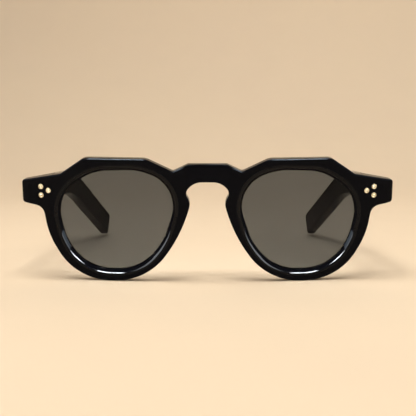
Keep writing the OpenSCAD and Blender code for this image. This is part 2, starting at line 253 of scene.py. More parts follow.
def hinge_place():
    """Middle of the hinge, seen in the plane of the front."""
    front, _, temple, hardware = values()
    return Vector((half_width() - temple.thickness + 0.3 * MM,
                   butt_depth() + hardware.barrel_radius + BARREL_PLAY,
                   front.end_top - front.end_height / 2 - 0.25 * MM))


def lean_angle():
    """Forward lean of the front, which the hinge axis shares."""
    return math.asin(abs(frame["joints"][0]["axis"][1]))


def shift():
    """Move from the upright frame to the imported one, found at the hinge."""
    joint = Vector(frame["joints"][0]["pos_m"])
    place = Matrix.Rotation(lean_angle(), 3, "X") @ hinge_place()
    return Matrix.Translation((0, joint.y - place.y, joint.z - place.z))


def leaned():
    """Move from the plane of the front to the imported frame."""
    return shift() @ Matrix.Rotation(lean_angle(), 4, "X")


# Corners of the left opening as shares of its half width, half height and again half width, from
# the top of the nose side over the temple side and the foot
OPENING = ((-0.4, 1.01, 1), (0.37, 0.97, 0.84), (1.085, 0.495, 0.67), (0.94, -0.3, 0.76),
           (0.665, -1, 0.82), (-0.41, -1, 0.9), (-0.87, -0.34, 1.3), (-1.12, 0.7, 0.58))


def opening_corners():
    """Corners of the left opening as (x, z, radius), clockwise from the front."""
    front = values()[0]
    middle = opening_middle()
    half_w = front.lens_width / 2
    half_h = front.lens_height / 2
    return [(middle.x + x * half_w, middle.y + z * half_h, r * half_w) for x, z, r in OPENING]


def front_corners():
    """Corners of the outer outline as (x, z, radius), clockwise from the front."""
    front = values()[0]
    middle = opening_middle()
    gap = front.lens_gap / 2
    end_low = front.end_top - front.end_height
    half = [
        # Bridge, notch and brow
        (7.5 * MM, front.bridge_top, 2 * MM),
        (gap - 0.1 * MM, front.bridge_top - front.notch, 1.5 * MM),
        (middle.x - 11.9 * MM, front.height, 7 * MM),
        (middle.x + 12 * MM, front.height, 4 * MM),
        # End piece
        (eye_out() - 0.6 * MM, front.end_top + 2.9 * MM, 2.5 * MM),
        (half_width(), front.end_top, 1.5 * MM),
        (half_width(), end_low, 1.1 * MM),
        (eye_out() + 6.7 * MM, end_low - 1.5 * MM, 4 * MM),
        # Round the rim to its foot
        (eye_out() + front.rim_side, 18 * MM, 30 * MM),
        (eye_out() - 4.5 * MM, 0.8 * MM, 22 * MM),
        (gap + 11.3 * MM, -1.2 * MM, 26 * MM),
        # Up the nose side to the keyhole
        (gap - 3.4 * MM, front.bridge_low - 19.9 * MM, 60 * MM),
        (gap - 6.95 * MM, front.bridge_low - 7.6 * MM, 4.6 * MM),
        (gap - 4.6 * MM, front.bridge_low - 3.95 * MM, 2.6 * MM),
        (gap - 7.95 * MM, front.bridge_low, 6.4 * MM),
    ]
    return half + on_side(half, -1)


def on_side(corners, side):
    """An outline on the left side, or mirrored to the right one and still clockwise."""
    return corners if side > 0 else [(-x, z, r) for x, z, r in reversed(corners)]


# Drawing with bmesh

def corner_arc(before, corner, after):
    """Centre, start direction, turn and side of the arc that rounds a corner."""
    point = Vector(corner[:2])
    back = (Vector(before[:2]) - point).normalized()
    ahead = (Vector(after[:2]) - point).normalized()
    opening = back.angle(ahead)
    side = math.copysign(1, back.x * ahead.y - back.y * ahead.x)
    centre = point + (back + ahead).normalized() * corner[2] / math.sin(opening / 2)
    return centre, Vector((back.y, -back.x)), math.pi - opening, side


def draw_outline(bm, corners, depth, step=1.1 * MM):
    """Closed loop of edges at one depth, each corner a vertex spun about its centre.
    The layer "outwards" holds the way out of the outline."""
    layers = bm.verts.layers.float_vector
    outwards = layers.get("outwards") or layers.new("outwards")
    known = set(bm.edges)
    ends = []
    for i, corner in enumerate(corners):
        after = corners[(i + 1) % len(corners)]
        centre, out, turn, side = corner_arc(corners[i - 1], corner, after)
        pivot = Vector((centre.x, depth, centre.y))
        count = len(bm.verts)
        first = bm.verts.new(pivot + Vector((out.x, 0, out.y)) * side * corner[2])
        spun = bmesh.ops.spin(bm, geom=[first], cent=pivot, axis=(0, 1, 0), angle=side * turn,
                              steps=max(4, math.ceil(corner[2] * turn / step)))
        last = next(g for g in spun["geom_last"] if isinstance(g, bmesh.types.BMVert))
        for vert in bm.verts[count:]:
            vert[outwards] = (vert.co - pivot) * side / corner[2]
        ends.append((first, last))
    for i, (first, _) in enumerate(ends):
        bm.edges.new((ends[i - 1][1], first))
    return [edge for edge in bm.edges if edge not in known]


def extrude_loop(bm, loop):
    """Extrudes a loop of edges, and gives the new loop and its vertices."""
    geometry = bmesh.ops.extrude_edge_only(bm, edges=loop)["geom"]
    verts = [g for g in geometry if isinstance(g, bmesh.types.BMVert)]
    held = set(verts)
    return [g for g in geometry if isinstance(g, bmesh.types.BMEdge) and held.issuperset(g.verts)], verts


def rounded_path(corners, steps=4):
    """Points of a path whose inner corners (across, depth, radius) are rounded."""
    points = [Vector(corners[0][:2])]
    for before, corner, after in zip(corners, corners[1:], corners[2:]):
        if not corner[2]:
            points.append(Vector(corner[:2]))
            continue
        centre, out, turn, side = corner_arc(before, corner, after)
        for k in range(steps + 1):
            points.append(centre + Matrix.Rotation(-side * turn * k / steps, 2) @ out * side * corner[2])
    return points + [Vector(corners[-1][:2])]


def draw_wall(bm, corners, path):
    """Wall along an outline, its section a path of (outwards, depth). Gives its two rims."""
    first = loop = draw_outline(bm, corners, path[0][1])
    outwards = bm.verts.layers.float_vector["outwards"]
    for vert in {vert for edge in loop for vert in edge.verts}:
        vert.co += vert[outwards] * path[0][0]
    for before, (across, depth) in zip(path, path[1:]):
        loop, verts = extrude_loop(bm, loop)
        for vert in verts:
            vert.co += vert[outwards] * (across - before[0]) + Vector((0, depth - before[1], 0))
    return first, loop


def cut(bm, place, normal, snap=0.05 * MM):
    """Cuts the whole mesh by a plane, and keeps both halves."""
    bmesh.ops.bisect_plane(bm, geom=bm.verts[:] + bm.edges[:] + bm.faces[:], dist=snap,
                           plane_co=place, plane_no=normal)


def cut_grid(bm, spacing=3 * MM):
    """Cuts a plate into a grid fine enough to bend, and clears its faces of other edges."""
    for axis in Vector((1, 0, 0)), Vector((0, 0, 1)):
        places = [axis.dot(vert.co) / spacing for vert in bm.verts]
        for k in range(math.ceil(min(places)), math.ceil(max(places))):
            cut(bm, axis * (k * spacing), axis)

    def on_grid(edge, axis):
        places = [vert.co[axis] / spacing for vert in edge.verts]
        return all(abs(place - round(places[0])) < 0.02 for place in places)

    bm.normal_update()
    loose = [edge for edge in bm.edges
             if len(edge.link_faces) == 2 and all(abs(face.normal.y) > 0.9999 for face in edge.link_faces)
             and not on_grid(edge, 0) and not on_grid(edge, 2)]
    bmesh.ops.dissolve_edges(bm, edges=loose, use_verts=True)


def move(bm, matrix):
    """Moves the whole mesh by a matrix."""
    bmesh.ops.transform(bm, matrix=matrix, verts=bm.verts[:])


def round_off(bm, edges, width, segments, clamp=False):
    """Rounds edges off by that width, less where clamping keeps them from overlapping."""
    bmesh.ops.bevel(bm, geom=edges, offset=width, affect="EDGES", segments=segments, profile=0.5,
                    material=-1, clamp_overlap=clamp)


def bridge(bm, loops):
    """Skin from each loop of edges to the next, closed at the last one."""
    for one, two in zip(loops, loops[1:]):
        bmesh.ops.bridge_loops(bm, edges=one + two)
    bmesh.ops.edgeloop_fill(bm, edges=loops[-1])


def smooth_step(value, middle, width):
    """0 before, 1 after, with a smooth rise of that width between."""
    t = min(1, max(0, (value - middle) / width + 0.5))
    return t * t * (3 - 2 * t)


def new_object(name, data):
    """Object that holds this data, linked to the scene."""
    made = bpy.data.objects.new(name, data)
    bpy.context.scene.collection.objects.link(made)
    return made


def hold_mesh(bm, name):
    """Object that holds a bmesh, which is freed."""
    mesh = bpy.data.meshes.new(name)
    bm.to_mesh(mesh)
    bm.free()
    return new_object(name, mesh)


def make_piece(bm, name, body, maker, replaced, sharp=35):
    """Closes a bmesh into a finished piece that rides on a body."""
    bmesh.ops.remove_doubles(bm, verts=bm.verts[:], dist=WELD)
    bmesh.ops.recalc_face_normals(bm, faces=bm.faces[:])
    piece = hold_mesh(bm, name)
    piece.data.materials.append(material_named(maker))
    shade(piece, sharp)
    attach(piece, body)
    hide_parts(*replaced)
    return piece


def shade(piece, sharp):
    """Smooth shading that leaves edges over an angle sharp and flat faces flat."""
    piece.data.shade_smooth()
    piece.data.set_sharp_from_angle(angle=math.radians(sharp))
    weighted = piece.modifiers.new("Flat faces", "WEIGHTED_NORMAL")
    weighted.keep_sharp = True
    weighted.weight = 60


def carve(piece, cutters):
    """Cuts the cutter meshes out of a piece, deletes them and shades the piece anew."""
    piece.modifiers.clear()
    for cutter in cutters:
        carving = piece.modifiers.new("Carve", "BOOLEAN")
        carving.object = cutter
        carving.operation = "DIFFERENCE"
        carving.solver = "EXACT"
    depsgraph = bpy.context.evaluated_depsgraph_get()
    carved = bpy.data.meshes.new_from_object(piece.evaluated_get(depsgraph), depsgraph=depsgraph)
    piece.modifiers.clear()
    old = piece.data
    carved.name = old.name
    piece.data = carved
    bpy.data.meshes.remove(old)
    for cutter in cutters:
        bpy.data.meshes.remove(cutter.data)
    shade(piece, 35)


def block(one, two, matrix):
    """Temporary cutting block between two corners, moved by a matrix."""
    bm = bmesh.new()
    bmesh.ops.create_cube(bm, size=1)
    low, high = (Vector([pick(pair) for pair in zip(one, two)]) for pick in (min, max))
    bmesh.ops.scale(bm, vec=high - low, verts=bm.verts[:])
    bmesh.ops.translate(bm, vec=(low + high) / 2, verts=bm.verts[:])
    move(bm, matrix)
    return hold_mesh(bm, "cutter")


# Materials

def add(tree, kind, inputs=None, **settings):
    """Adds a shader node, and sets or links its inputs."""
    node = tree.nodes.new("ShaderNode" + kind)
    for name, value in settings.items():
        setattr(node, name, value)
    for name, value in (inputs or {}).items():
        if isinstance(value, bpy.types.NodeSocket):
            tree.links.new(value, node.inputs[name])
        else:
            node.inputs[name].default_value = value
    return node


def new_material(name):
    """Empty node material, its tree and its object coordinates."""
    material = bpy.data.materials.new(name)
    material.use_nodes = True
    tree = material.node_tree
    tree.nodes.clear()
    return material, tree, add(tree, "TexCoord").outputs["Object"]


def surfaced(material, inputs):
    """The material with a surface that has these inputs."""
    shader = add(material.node_tree, "BsdfPrincipled", inputs)
    add(material.node_tree, "OutputMaterial", {"Surface": shader.outputs[0]})
    return material


def darker(tone, share):
    """A colour with that share of its light."""
    return [c * share for c in tone]


def tumbled_acetate():
    """Cellulose acetate, cut from sheet and tumbled to a low, cool gloss."""
    return acetate_finish("tumbled_acetate", gloss_level=0.06, gloss_tint=(0.7, 0.85, 1, 1),
                          smooth=0.05, rough=0.085)


def polished_acetate():
    """The same acetate, buffed by hand to a bright gloss."""
    return acetate_finish("polished_acetate", gloss_level=0.15, gloss_tint=(0.87, 0.94, 1, 1),
                          smooth=0.03, rough=0.06)


def satin_acetate():
    """The same acetate on the inner faces of the temples, left satin."""
    return acetate_finish("satin_acetate", gloss_level=0.017, gloss_tint=(0.75, 0.92, 1, 1),
                          smooth=0.3, rough=0.34)


def acetate_finish(name, gloss_level, gloss_tint, smooth, rough):
    """Black acetate with clouds 14 mm apart and the slight waves of buffing, 2.5 mm apart."""
    finishes = bpy.context.scene.finishes
    material, tree, place = new_material(name)
    clouds = add(tree, "TexNoise", {"Vector": place, "Scale": 1 / (14 * MM), "Detail": 3.0})
    tone = add(tree, "Mix", {"Factor": clouds.outputs["Fac"], "A": (*finishes.acetate, 1),
                             "B": (*finishes.acetate_warm, 1)}, data_type="RGBA")
    haze = add(tree, "TexNoise", {"Vector": place, "Scale": 1 / (5 * MM), "Detail": 4.0})
    gloss = add(tree, "MapRange", {"Value": haze.outputs["Fac"], "From Min": 0.3, "From Max": 0.7,
                                   "To Min": smooth, "To Max": rough})
    waves = add(tree, "TexNoise", {"Vector": place, "Scale": 1 / (2.5 * MM), "Detail": 1.0})
    bump = add(tree, "Bump", {"Height": waves.outputs["Fac"], "Distance": 0.004 * MM})
    return surfaced(material, {
        "Base Color": tone.outputs["Result"], "Roughness": gloss.outputs["Result"],
        "IOR": 1.48, "Specular IOR Level": gloss_level, "Specular Tint": gloss_tint,
        "Normal": bump.outputs["Normal"]})


def tinted_lens():
    """Cast resin lens, dyed grey right through, with a coating that leaves only a faint gloss."""
    lens = bpy.context.scene.lens_sizes
    material, tree, place = new_material("tinted_lens_resin")
    drift = add(tree, "TexNoise", {"Vector": place, "Scale": 1 / (30 * MM), "Detail": 1.0})
    tone = add(tree, "Mix", {"Factor": drift.outputs["Fac"], "A": (*lens.tint, 1),
                             "B": (*darker(lens.tint, 0.96), 1)}, data_type="RGBA")
    swirl = add(tree, "TexNoise", {"Vector": place, "Scale": 1 / (9 * MM), "Detail": 2.0})
    gloss = add(tree, "MapRange", {"Value": swirl.outputs["Fac"], "To Max": 0.012})
    return surfaced(material, {
        "Base Color": tone.outputs["Result"], "Roughness": gloss.outputs["Result"],
        "IOR": 1.5, "Specular Tint": (0.15, 0.15, 0.17, 1), "Transmission Weight": 1.0})


def rivet_metal():
    """Gold-plated nickel silver, polished flush with the acetate."""
    finishes = bpy.context.scene.finishes
    return marked_metal("polished_gold_plate", finishes.gold, finishes.gold_dark,
                        grain=0.3 * MM, detail=4.0, smooth=0.2, rough=0.34, relief=0.004 * MM)


def tumbled_nickel():
    """Nickel silver, stamped and tumbled satin."""
    nickel = bpy.context.scene.finishes.nickel
    return marked_metal("tumbled_nickel_silver", nickel, darker(nickel, 0.82),
                        grain=0.4 * MM, detail=5.0, smooth=0.22, rough=0.42, relief=0.006 * MM)


def bright_steel():
    """Stainless steel screws, turned and burnished."""
    steel = bpy.context.scene.finishes.steel
    return marked_metal("burnished_steel", steel, darker(steel, 0.82),
                        grain=0.4 * MM, detail=5.0, smooth=0.14, rough=0.28, relief=0.006 * MM)


def marked_metal(name, tone, worn, grain, detail, smooth, rough, relief):
    """Metal with random marks, their grain coarser than the real one, so that it shows."""
    material, tree, place = new_material(name)
    marks = add(tree, "TexNoise", {"Vector": place, "Scale": 1 / grain, "Detail": detail})
    mixed = add(tree, "Mix", {"Factor": marks.outputs["Fac"], "A": (*tone, 1), "B": (*worn, 1)},
                data_type="RGBA")
    gloss = add(tree, "MapRange", {"Value": marks.outputs["Fac"], "To Min": smooth, "To Max": rough})
    bump = add(tree, "Bump", {"Height": marks.outputs["Fac"], "Distance": relief})
    return surfaced(material, {
        "Base Color": mixed.outputs["Result"], "Metallic": 1.0, "Roughness": gloss.outputs["Result"],
        "Normal": bump.outputs["Normal"]})


def stage_paint():
    """Matt painted floor with the faintest mottle."""
    floor = bpy.context.scene.stage_settings.floor
    material, tree, place = new_material("stage_paint")
    mottle = add(tree, "TexNoise", {"Vector": place, "Scale": 1 / (40 * MM), "Detail": 3.0})
    tone = add(tree, "Mix", {"Factor": mottle.outputs["Fac"], "A": (*floor, 1),
                             "B": (*darker(floor, 0.97), 1)}, data_type="RGBA")
    return surfaced(material, {
        "Base Color": tone.outputs["Result"], "Roughness": 0.6, "Specular IOR Level": 0.0})


MADE = {}


def material_named(maker):
    """The material that a maker function gives, made once."""
    if maker not in MADE:
        MADE[maker] = maker()
    return MADE[maker]


# Pieces

# Width of the step between the bowed back and the thick block of an end piece
END_STEP = 0.6 * MM


def back_depth(x, z):
    """Depth of the back of the front, bowed between the end pieces and flat on them."""
    front = values()[0]
    hollow = bowed(x, z, front.thickness)
    block_share = smooth_step(abs(x), end_inner(), END_STEP) * smooth_step(z, end_foot(), END_STEP)
    return hollow + (butt_depth() - hollow) * block_share


def scoop_curve():
    """Extra curve of the scoop over the face, as depth by half width squared."""
    front = values()[0]
    radius = (front.scoop_width ** 2 + front.scoop_depth ** 2) / (2 * front.scoop_depth)
    return 0.5 / radius + 0.5 / front.bow


def crease(z):
    """Half width of the scoop across the bridge at one height."""
    front = values()[0]
    over = z - (front.bridge_top + front.bridge_low) / 2
    return math.sqrt(max(0, front.scoop_width ** 2 + over * math.tan(front.scoop_tilt) / scoop_curve()))


def face_depth(x, z):
    """Depth of the face of the front, with its scoop and its rolled ends."""
    front = values()[0]
    scoop = max(0, crease(z) ** 2 - x * x) * scoop_curve()
    # The hollow ends with the keyhole, so the noses of the rims keep their face
    if z < front.bridge_low - 4 * MM:
        scoop = 0
    roll_radius = 2 * front.end_roll
    past = max(0, abs(x) - half_width() + front.end_roll)
    roll = roll_radius - math.sqrt(roll_radius ** 2 - past * past)
    return bowed(x, z, 0) + scoop + roll


class SUNGLASSES_OT_front(bpy.types.Operator):
    """Front of acetate with its bevelled openings, lens grooves, scooped bridge and end pieces"""
    bl_idname = "sunglasses.front"
    bl_label = "Front"

    def execute(self, context):
        front, lens, _, hardware = values()
        bm = bmesh.new()
        # Sections of the walls as (across, depth, rounding), which end on the flat faces
        back = front.thickness
        outer = rounded_path([(-1 * MM, 0, 0), (0, 0, front.front_round), (0, back, front.back_round),
                              (-1 * MM, back, 0)])
        fore = lens.set_back - lens.play
        aft = lens.set_back + lens.thickness + lens.play
        inner = rounded_path([(2.6 * MM, 0, 0), (front.bevel, 0, 1.9 * MM), (0, front.bevel, 0.08 * MM),
                              (0, fore, 0), (front.groove, fore, 0), (front.groove, aft, 0),
                              (0, aft, 0), (0, back, 0.6 * MM), (1.1 * MM, back, 0)])
        rims = [draw_wall(bm, front_corners(), outer)]
        outer_faces = set(bm.faces)
        rims += [draw_wall(bm, on_side(opening_corners(), side), inner) for side in SIDES.values()]
        # Only the rounded edges of the openings have the brighter polish
        bm.normal_update()
        for face in set(bm.faces) - outer_faces:
            slope = math.degrees(face.normal.angle(Vector((0, 1, 0))))
            face.material_index = int(all(abs(slope - flat) > 2 for flat in (0, 90, 135, 180)))
        for loops in zip(*rims):
            bmesh.ops.triangle_fill(bm, use_beauty=True, edges=[edge for loop in loops for edge in loop])
        cut_grid(bm)
        # Edges where the surface steps, creases and rolls
        close = 0.02 * MM
        for k in range(-2, 3):
            cut(bm, (0, 0, end_foot() + k * END_STEP / 4), (0, 0, 1), close)
            for side in SIDES.values():
                cut(bm, (side * (end_inner() + k * END_STEP / 4), 0, 0), (1, 0, 0), close)
        low, high = front.bridge_low, front.bridge_top
        slope = (crease(high) - crease(low)) / (high - low)
        for side in SIDES.values():
            cut(bm, (side * crease(low), 0, low), (side, 0, -slope), close)
            for rolled in (front.end_roll, front.end_roll / 2):
                cut(bm, (side * (half_width() - rolled), 0, 0), (1, 0, 0), close)
        for vert in bm.verts:
            x, depth, z = vert.co
            if depth < back / 2:
                vert.co.y = face_depth(x, z) + bowed(x, z, depth) - bowed(x, z, 0)
            else:
                vert.co.y = back_depth(x, z) - back + depth
        move(bm, leaned())
        piece = make_piece(bm, "acetate_front", "front", tumbled_acetate, ["front_frame"])
        piece.data.materials.append(material_named(polished_acetate))
        hinge = hinge_place()
        near = hinge.x - FRONT_LEAF
        far = hinge.x + hardware.barrel_radius + BARREL_PLAY
        low = hinge.z - leaf_half()
        high = hinge.z + leaf_half() + hardware.leaf_up
        carve(piece, [block((side * near, butt_depth() - hardware.leaf, low),
                            (side * far, butt_depth() + OVERCUT, high), leaned())
                      for side in SIDES.values()])
        return {"FINISHED"}


class SUNGLASSES_OT_lenses(bpy.types.Operator):
    """Bowed, tinted lenses that sit in the grooves of the rims"""
    bl_idname = "sunglasses.lenses"
    bl_label = "Lenses"

    def execute(self, context):
        front, lens, _, _ = values()
        edge = front.groove - lens.play
        fore, aft = lens.set_back, lens.set_back + lens.thickness
        rounding = 0.15 * MM
        path = rounded_path([(edge - 1 * MM, fore, 0), (edge, fore, rounding), (edge, aft, rounding),
                             (edge - 1 * MM, aft, 0)], 2)
        rings = 14
        for name, side in SIDES.items():
            bm = bmesh.new()
            corners = on_side(opening_corners(), side)
            middle = Matrix.Translation((-side * opening_middle().x, 0, -opening_middle().y))
            for rim in draw_wall(bm, corners, path):
                for ring in range(rings, 1, -1):
                    rim, verts = extrude_loop(bm, rim)
                    share = (ring - 1) / ring
                    bmesh.ops.scale(bm, vec=(share, 1, share), space=middle, verts=verts)
                bmesh.ops.edgeloop_fill(bm, edges=rim)
            for vert in bm.verts:
                vert.co.y = bowed(vert.co.x, vert.co.z, vert.co.y)
            move(bm, leaned())
            make_piece(bm, f"tinted_lens_{name}", "front", tinted_lens, [f"lens_{name}"])
        return {"FINISHED"}


# Ends of a pad's foot, from the edge of the opening gap and the middle of the lens in millimetres,
# and how far the pad leans towards the lens and down for each millimetre of its height
PAD_UPPER = (-3.2, 4.6)
PAD_LOWER = (0.9, -6.6)
PAD_LEAN = Vector((0.31, -0.06, 0))
PAD_LEAN_END = 3.5
# Height over the back of the rim, radius there, and how far the ends draw in, up to its crown
PAD_LEVELS = ((-0.4, 2.2, 0), (0.2, 2.2, 0), (1.4, 1.97, 0.5), (2.9, 1.68, 1.1), (4.1, 1.4, 1.4),
              (4.8, 0.8, 1.5))
PAD_CROWN = (0.25, 1.6)


class SUNGLASSES_OT_nose_pads(bpy.types.Operator):
    """Solid pads glued to the back of the rims"""
    bl_idname = "sunglasses.nose_pads"
    bl_label = "Nose pads"

    def execute(self, context):
        front, _, temple, _ = values()
        middle = opening_middle()
        gap = front.lens_gap / 2
        upper, lower = (Vector((gap + x * MM, middle.y + z * MM, 0)) for x, z in (PAD_UPPER, PAD_LOWER))
        run = (upper - lower).normalized()
        for name, side in SIDES.items():
            bm = bmesh.new()
            loops = []
            for height, radius, draw_in in (*PAD_LEVELS, (temple.pad_reach / MM, *PAD_CROWN)):
                lean_in = PAD_LEAN * min(PAD_LEAN_END, max(0, height)) * MM
                top = upper - run * draw_in * MM + lean_in
                low = lower + run * draw_in * MM + lean_in
                corners = on_side(pad_corners(top, low, radius * MM), side)
                loops.append(draw_outline(bm, corners, front.thickness + height * MM, 0.5 * MM))
            bridge(bm, loops)
            bmesh.ops.edgeloop_fill(bm, edges=loops[0])
            for vert in bm.verts:
                extra = vert.co.y - front.thickness
                vert.co.y = bowed(vert.co.x, vert.co.z, front.thickness) + extra
            move(bm, leaned())
            piece = make_piece(bm, f"acetate_pad_{name}", "front", tumbled_acetate,
                               [f"nose_pad_{name}"], sharp=75)
            piece.modifiers.clear()
            rounding = piece.modifiers.new("Rounding", "SUBSURF")
            rounding.levels = rounding.render_levels = 1
        return {"FINISHED"}


def pad_corners(top, low, radius):
    """Corners of the long round outline about two points, clockwise from the front."""
    run = (top - low).normalized() * radius
    out = Vector((run.y, -run.x, 0))
    # A hair under a half circle, so that each end keeps two corners
    rounding = radius * 0.999
    places = top + run - out, top + run + out, low - run + out, low - run - out
    return [(place.x, place.y, rounding) for place in places]


def middle_line(s):
    """Point and direction of the left temple's middle line, s from its butt."""
    temple = values()[2]
    hinge = hinge_place()
    start = Matrix.Rotation(lean_angle(), 3, "X") @ Vector((0, butt_depth(), hinge.z))
    start.x = half_width() - temple.thickness / 2
    fall = Vector((-math.sin(temple.ear_turn), 0, -math.cos(temple.ear_turn)))
    tail = tail_length(start.z)
    ear = temple.ear_radius * temple.ear_bend
    level = temple.length - ear - tail
    bend = min(temple.ear_bend, max(0, (s - level) / temple.ear_radius))
    heading = Vector((0, math.cos(bend), 0)) + fall * math.sin(bend)
    past = max(0, s - level - ear)
    point = start + Vector((0, min(s, level) + temple.ear_radius * math.sin(bend), 0))
    point += fall * temple.ear_radius * (1 - math.cos(bend)) + heading * past
    return point, heading


def tail_length(start_height):
    """Straight length behind the ear that takes the tip down to the floor."""
    temple = values()[2]
    drop = math.sin(temple.ear_bend) * math.cos(temple.ear_turn)
    ear_drop = temple.ear_radius * (1 - math.cos(temple.ear_bend)) * math.cos(temple.ear_turn)
    floor = -shift().translation.z
    return (start_height - floor - ear_drop - TEMPLE_BELOW[-1][1] * MM * math.sqrt(1 - drop * drop)) / drop


def height_at(s, stations):
    """Height at s, from stations given as (length, height) in millimetres."""
    s /= MM
    for (s0, h0), (s1, h1) in zip(stations, stations[1:]):
        if s <= s1:
            return (h0 + (h1 - h0) * max(0, s - s0) / (s1 - s0)) * MM
    return stations[-1][1] * MM


# Heights of a temple over and under its middle line
TEMPLE_ABOVE = ((-6, 4.2), (2, 4.2), (20, 4.5), (48, 5.3), (75, 5.9), (100, 6.2), (160, 6.2))
TEMPLE_BELOW = ((-6, 4), (2, 4.1), (20, 4.7), (48, 5.6), (75, 6.2), (100, 6.5), (140, 6.6), (160, 6.6))


def draw_section(bm, s):
    """Edges of one rounded section of the left temple."""
    temple = values()[2]
    left = max(0.03 * MM, temple.length - s)
    # What the rounding of the tip takes off the height, and less off the thickness
    loss = 0
    if left < temple.tip_round:
        loss = temple.tip_round - math.sqrt(temple.tip_round ** 2 - (temple.tip_round - left) ** 2)
    above = height_at(s, TEMPLE_ABOVE) - loss
    below = height_at(s, TEMPLE_BELOW) - loss
    half = temple.thickness / 2 - min(0.8 * MM, loss * 0.3)
    edge = min(temple.edge, half - 0.2 * MM)
    verts = bmesh.ops.create_grid(bm, x_segments=1, y_segments=1, size=0.5)["verts"]
    bmesh.ops.scale(bm, vec=(2 * half, above + below, 1), verts=verts)
    bmesh.ops.translate(bm, vec=(0, (above - below) / 2, 0), verts=verts)
    bmesh.ops.bevel(bm, geom=verts, offset=edge, affect="VERTICES", segments=5, profile=0.5, material=-1)
    face = next(f for f in bm.faces if len(f.verts) > 20)
    point, heading = middle_line(s)
    across = Vector((heading.y, -heading.x, 0)).normalized()
    rise = across.cross(heading)
    station = Matrix((across, rise, heading)).transposed().to_4x4()
    station.translation = point
    bmesh.ops.transform(bm, matrix=station, verts=face.verts[:])
    edges = face.edges[:]
    bmesh.ops.delete(bm, geom=[face], context="FACES_ONLY")
    return edges


class SUNGLASSES_OT_temples(bpy.types.Operator):
    """Temples with rounded edges, a bend over the ear and a pocket for the hinge barrels"""
    bl_idname = "sunglasses.temples"
    bl_label = "Temples"

    def execute(self, context):
        _, _, temple, hardware = values()
        # One station ahead of the butt, none near its rounded edges, and closer ones round the tip
        spacing = 3 * MM
        tip_start = temple.length - 8 * MM
        stations = [-2 * spacing] + [k * spacing for k in range(1, int(tip_start / spacing))]
        turns = 7
        tip_end = temple.length - 0.02 * MM
        stations += [tip_end - temple.tip_round * (1 - math.cos(math.pi / 2 * k / turns))
                     for k in range(turns, -1, -1)]
        hinge = hinge_place()
        lean = leaned()
        for name, side in SIDES.items():
            bm = bmesh.new()
            loops = [draw_section(bm, s) for s in stations]
            bridge(bm, loops)
            move(bm, shift())
            butt = lean @ Vector((0, butt_depth() + temple.butt_gap, hinge.z))
            halved = bmesh.ops.bisect_plane(bm, geom=bm.verts[:] + bm.edges[:] + bm.faces[:],
                                            dist=0.01 * MM, plane_co=butt, plane_no=lean.col[1].xyz,
                                            clear_inner=True)
            rim = [g for g in halved["geom_cut"] if isinstance(g, bmesh.types.BMEdge)]
            bmesh.ops.edgeloop_fill(bm, edges=rim)
            round_off(bm, [edge for edge in rim if edge.is_valid], 0.3 * MM, 3)
            bmesh.ops.scale(bm, vec=(side, 1, 1), verts=bm.verts[:])
            piece = make_piece(bm, f"acetate_temple_{name}", f"{name}_arm", polished_acetate,
                               [f"temple_{name}"])
            piece.data.materials.append(material_named(satin_acetate))
            # Satin where they face the head
            for face in piece.data.polygons:
                face.material_index = int(face.normal.x * side < -0.9)
            # Pocket in which the barrels turn, from 0.25 mm under them to 0.95 mm over them
            inner = half_width() - temple.thickness
            open_side = side * (inner - OVERCUT)
            deep = side * (hinge.x + hardware.barrel_radius + 0.3 * MM)
            low = hinge.z - stack_height() / 2 - 0.25 * MM
            back = butt_depth() + pocket_length()
            pocket = block((open_side, butt_depth() - OVERCUT, low),
                           (deep, back, low + stack_height() + 1.2 * MM), lean)
            # Slot of the plate of the leaf, which starts 0.2 mm behind the pocket
            plate = side * (inner + hardware.leaf)
            start = middle_line(0)[0] + shift().translation
            half = leaf_half()
            run = start.y + pocket_length() + 0.2 * MM
            slot = block((open_side, run - FIT, start.z - half),
                         (plate, run + TEMPLE_LEAF, start.z + half), Matrix.Identity(4))
            # Way for the links between the barrels and that plate
            way = block((open_side, butt_depth(), hinge.z - half),
                        (plate, back + 1.2 * MM, hinge.z + half), lean)
            carve(piece, [pocket, slot, way])
        return {"FINISHED"}


class SUNGLASSES_OT_hinges(bpy.types.Operator):
    """Hinge leaves and screws with broken edges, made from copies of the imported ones"""
    bl_idname = "sunglasses.hinges"
    bl_label = "Hinges"

    def execute(self, context):
        hardware = values()[3]
        parts = [("front_leaf", "hinge", tumbled_nickel), ("temple_leaf", "hinge", tumbled_nickel),
                 ("hinge_screw", "screw", bright_steel)]
        for name in SIDES:
            for node, slot, maker in parts:
                source = frame["nodes"][f"{node}_{name}"]
                bm = bmesh.new()
                bm.from_mesh(source.data)
                bmesh.ops.remove_doubles(bm, verts=bm.verts[:], dist=WELD)
                bmesh.ops.dissolve_limit(bm, angle_limit=math.radians(0.5), verts=bm.verts[:],
                                         edges=bm.edges[:])
                sharp = [edge for edge in bm.edges if edge.calc_face_angle(0) > math.radians(50)]
                round_off(bm, sharp, hardware.break_edge, 2, clamp=True)
                make_piece(bm, f"finished_{node}_{name}", source["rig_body"], maker, [source.name],
                           sharp=30)
        return {"FINISHED"}


